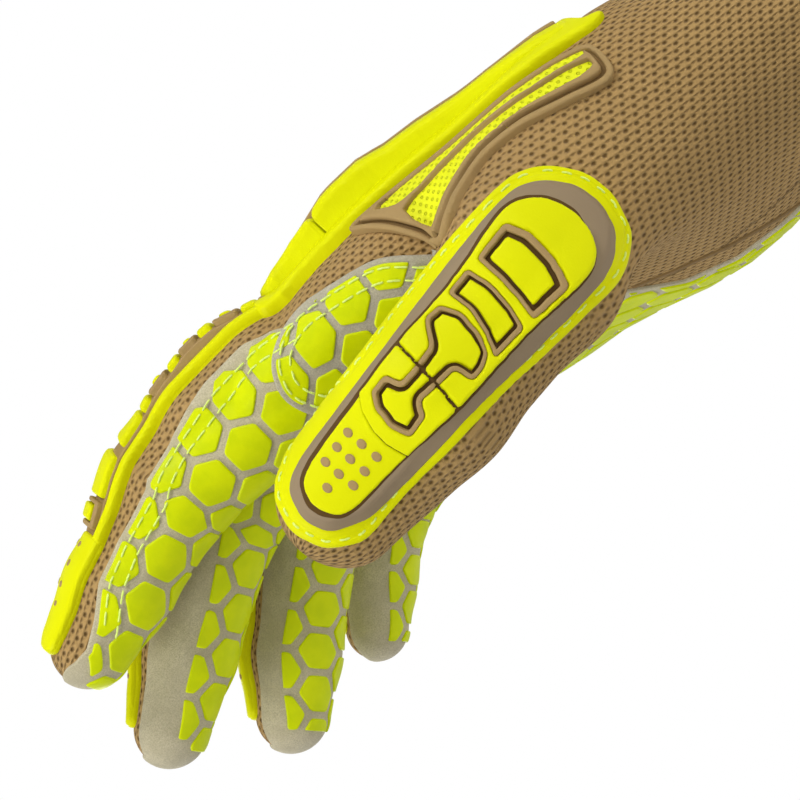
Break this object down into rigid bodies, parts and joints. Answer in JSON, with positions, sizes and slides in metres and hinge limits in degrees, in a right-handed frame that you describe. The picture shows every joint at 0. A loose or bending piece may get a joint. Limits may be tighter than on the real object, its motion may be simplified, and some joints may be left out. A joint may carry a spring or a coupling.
{
  "type": "cut resistant work glove",
  "caption": "Right-hand knit work glove with a suede grip palm, moulded rubber impact guards over the back, fingers and thumb, and a pull-on cuff.",
  "frame": {"origin": "centre of the cuff opening, in the plane of the hem", "axes": "+Z from the cuff to the fingertips, -Y the back of the hand, +Y the palm, -X the thumb side"},
  "size_m": [0.1197, 0.0811, 0.2501],
  "materials": {
    "knit_tan": "textured knit",
    "palm_leather": "suede with raised grip pads",
    "guard_rubber_hi_vis": "satin moulded",
    "guard_rubber_tan": "matte moulded",
    "vent_mesh": "dotted",
    "liner_knit": "fine knit",
    "elastic": "ribbed",
    "binding": "woven"
  },
  "bodies": {
    "cuff": {"cuff_hem_binding": "binding", "cuff_knit_sleeve": "knit_tan", "cuff_pull_tab": "binding", "wrist_elastic_band": "elastic"},
    "hand": {"back_guard_index": "guard_rubber_hi_vis", "back_guard_middle": "guard_rubber_hi_vis", "back_guard_pinky": "guard_rubber_hi_vis", "back_guard_ring": "guard_rubber_hi_vis", "cut_liner": "liner_knit", "hand_back_knit": "knit_tan", "palm_heel_patch": "palm_leather", "palm_leather": "palm_leather", "side_vent_frame": "guard_rubber_tan", "side_vent_mesh": "vent_mesh", "thumb_crotch_patch": "palm_leather"},
    "index_proximal": {"index_proximal_guard": "guard_rubber_hi_vis", "index_proximal_knit_back": "knit_tan", "index_proximal_palm_side": "palm_leather"},
    "index_middle": {"index_middle_guard": "guard_rubber_hi_vis", "index_middle_knit_back": "knit_tan", "index_middle_palm_side": "palm_leather"},
    "index_tip": {"index_tip_guard": "guard_rubber_hi_vis", "index_tip_knit_back": "knit_tan", "index_tip_palm_side": "palm_leather"},
    "middle_proximal": {"middle_proximal_guard": "guard_rubber_hi_vis", "middle_proximal_knit_back": "knit_tan", "middle_proximal_palm_side": "palm_leather"},
    "middle_middle": {"middle_middle_guard": "guard_rubber_hi_vis", "middle_middle_knit_back": "knit_tan", "middle_middle_palm_side": "palm_leather"},
    "middle_tip": {"middle_tip_guard": "guard_rubber_hi_vis", "middle_tip_knit_back": "knit_tan", "middle_tip_palm_side": "palm_leather"},
    "ring_proximal": {"ring_proximal_guard": "guard_rubber_hi_vis", "ring_proximal_knit_back": "knit_tan", "ring_proximal_palm_side": "palm_leather"},
    "ring_middle": {"ring_middle_guard": "guard_rubber_hi_vis", "ring_middle_knit_back": "knit_tan", "ring_middle_palm_side": "palm_leather"},
    "ring_tip": {"ring_tip_guard": "guard_rubber_hi_vis", "ring_tip_knit_back": "knit_tan", "ring_tip_palm_side": "palm_leather"},
    "pinky_proximal": {"pinky_proximal_guard": "guard_rubber_hi_vis", "pinky_proximal_knit_back": "knit_tan", "pinky_proximal_palm_side": "palm_leather"},
    "pinky_middle": {"pinky_middle_guard": "guard_rubber_hi_vis", "pinky_middle_knit_back": "knit_tan", "pinky_middle_palm_side": "palm_leather"},
    "pinky_tip": {"pinky_tip_guard": "guard_rubber_hi_vis", "pinky_tip_knit_back": "knit_tan", "pinky_tip_palm_side": "palm_leather"},
    "thumb_base": {"thumb_base_guard": "guard_rubber_hi_vis", "thumb_base_knit_back": "knit_tan", "thumb_base_palm_side": "knit_tan", "thumb_proximal_guard": "guard_rubber_hi_vis", "thumb_proximal_knit_back": "knit_tan", "thumb_proximal_palm_side": "knit_tan"},
    "thumb_tip": {"thumb_tip_guard": "guard_rubber_hi_vis", "thumb_tip_knit_back": "knit_tan", "thumb_tip_palm_side": "knit_tan"}
  },
  "joints": [
    {"name": "wrist_bend", "type": "hinge", "parent": "cuff", "child": "hand", "pos_m": [0, 0, 0.06], "axis": [-1, 0, 0], "range_deg": [-30, 30], "stiffness_Nm_per_rad": 1},
    {"name": "index_knuckle", "type": "hinge", "parent": "hand", "child": "index_proximal", "pos_m": [-0.033, 0, 0.165], "axis": [-0.9994, 0, -0.0349], "range_deg": [-20, 50], "stiffness_Nm_per_rad": 0.12},
    {"name": "index_middle_joint", "type": "hinge", "parent": "index_proximal", "child": "index_middle", "pos_m": [-0.0344, 0.0034, 0.206], "axis": [-0.9994, 0, -0.0349], "range_deg": [-25, 45], "stiffness_Nm_per_rad": 0.04},
    {"name": "index_tip_joint", "type": "hinge", "parent": "index_middle", "child": "index_tip", "pos_m": [-0.0351, 0.0125, 0.2263], "axis": [-0.9994, 0, -0.0349], "range_deg": [-17, 30.5], "stiffness_Nm_per_rad": 0.012},
    {"name": "middle_knuckle", "type": "hinge", "parent": "hand", "child": "middle_proximal", "pos_m": [-0.0115, -0.003, 0.169], "axis": [-1, 0, 0], "range_deg": [-20, 50], "stiffness_Nm_per_rad": 0.12},
    {"name": "middle_middle_joint", "type": "hinge", "parent": "middle_proximal", "child": "middle_middle", "pos_m": [-0.0115, 0.0059, 0.2073], "axis": [-1, 0, 0], "range_deg": [-35, 45], "stiffness_Nm_per_rad": 0.04},
    {"name": "middle_tip_joint", "type": "hinge", "parent": "middle_middle", "child": "middle_tip", "pos_m": [-0.0115, 0.0235, 0.2291], "axis": [-1, 0, 0], "range_deg": [-21.5, 27.5], "stiffness_Nm_per_rad": 0.012},
    {"name": "ring_knuckle", "type": "hinge", "parent": "hand", "child": "ring_proximal", "pos_m": [0.01, -0.002, 0.163], "axis": [-0.9994, 0, 0.0349], "range_deg": [-20, 50], "stiffness_Nm_per_rad": 0.12},
    {"name": "ring_middle_joint", "type": "hinge", "parent": "ring_proximal", "child": "ring_middle", "pos_m": [0.0113, 0.0116, 0.1999], "axis": [-0.9994, 0, 0.0349], "range_deg": [-40, 38], "stiffness_Nm_per_rad": 0.04},
    {"name": "ring_tip_joint", "type": "hinge", "parent": "ring_middle", "child": "ring_tip", "pos_m": [0.0119, 0.0309, 0.2173], "axis": [-0.9994, 0, 0.0349], "range_deg": [-24.5, 23.5], "stiffness_Nm_per_rad": 0.012},
    {"name": "pinky_knuckle", "type": "hinge", "parent": "hand", "child": "pinky_proximal", "pos_m": [0.03, 0.001, 0.154], "axis": [-0.9976, 0, 0.0698], "range_deg": [-20, 50], "stiffness_Nm_per_rad": 0.12},
    {"name": "pinky_middle_joint", "type": "hinge", "parent": "pinky_proximal", "child": "pinky_middle", "pos_m": [0.0324, 0.0102, 0.1876], "axis": [-0.9976, 0, 0.0698], "range_deg": [-40, 33], "stiffness_Nm_per_rad": 0.04},
    {"name": "pinky_tip_joint", "type": "hinge", "parent": "pinky_middle", "child": "pinky_tip", "pos_m": [0.0332, 0.0229, 0.1996], "axis": [-0.9976, 0, 0.0698], "range_deg": [-24.5, 20.5], "stiffness_Nm_per_rad": 0.012},
    {"name": "thumb_base_joint", "type": "hinge", "parent": "hand", "child": "thumb_base", "pos_m": [-0.026, 0.0005, 0.0884], "axis": [0.3577, -0.636, 0.6838], "range_deg": [-12, 18], "stiffness_Nm_per_rad": 0.3},
    {"name": "thumb_tip_joint", "type": "hinge", "parent": "thumb_base", "child": "thumb_tip", "pos_m": [-0.0588, 0.0296, 0.1481], "axis": [-0.3047, -0.924, 0.2311], "range_deg": [-40, 15], "stiffness_Nm_per_rad": 0.05}
  ],
  "couplings": [
    {"joint": "index_tip_joint", "follows": "index_middle_joint", "ratio": 0.67},
    {"joint": "middle_tip_joint", "follows": "middle_middle_joint", "ratio": 0.6},
    {"joint": "ring_tip_joint", "follows": "ring_middle_joint", "ratio": 0.6},
    {"joint": "pinky_tip_joint", "follows": "pinky_middle_joint", "ratio": 0.6}
  ]
}
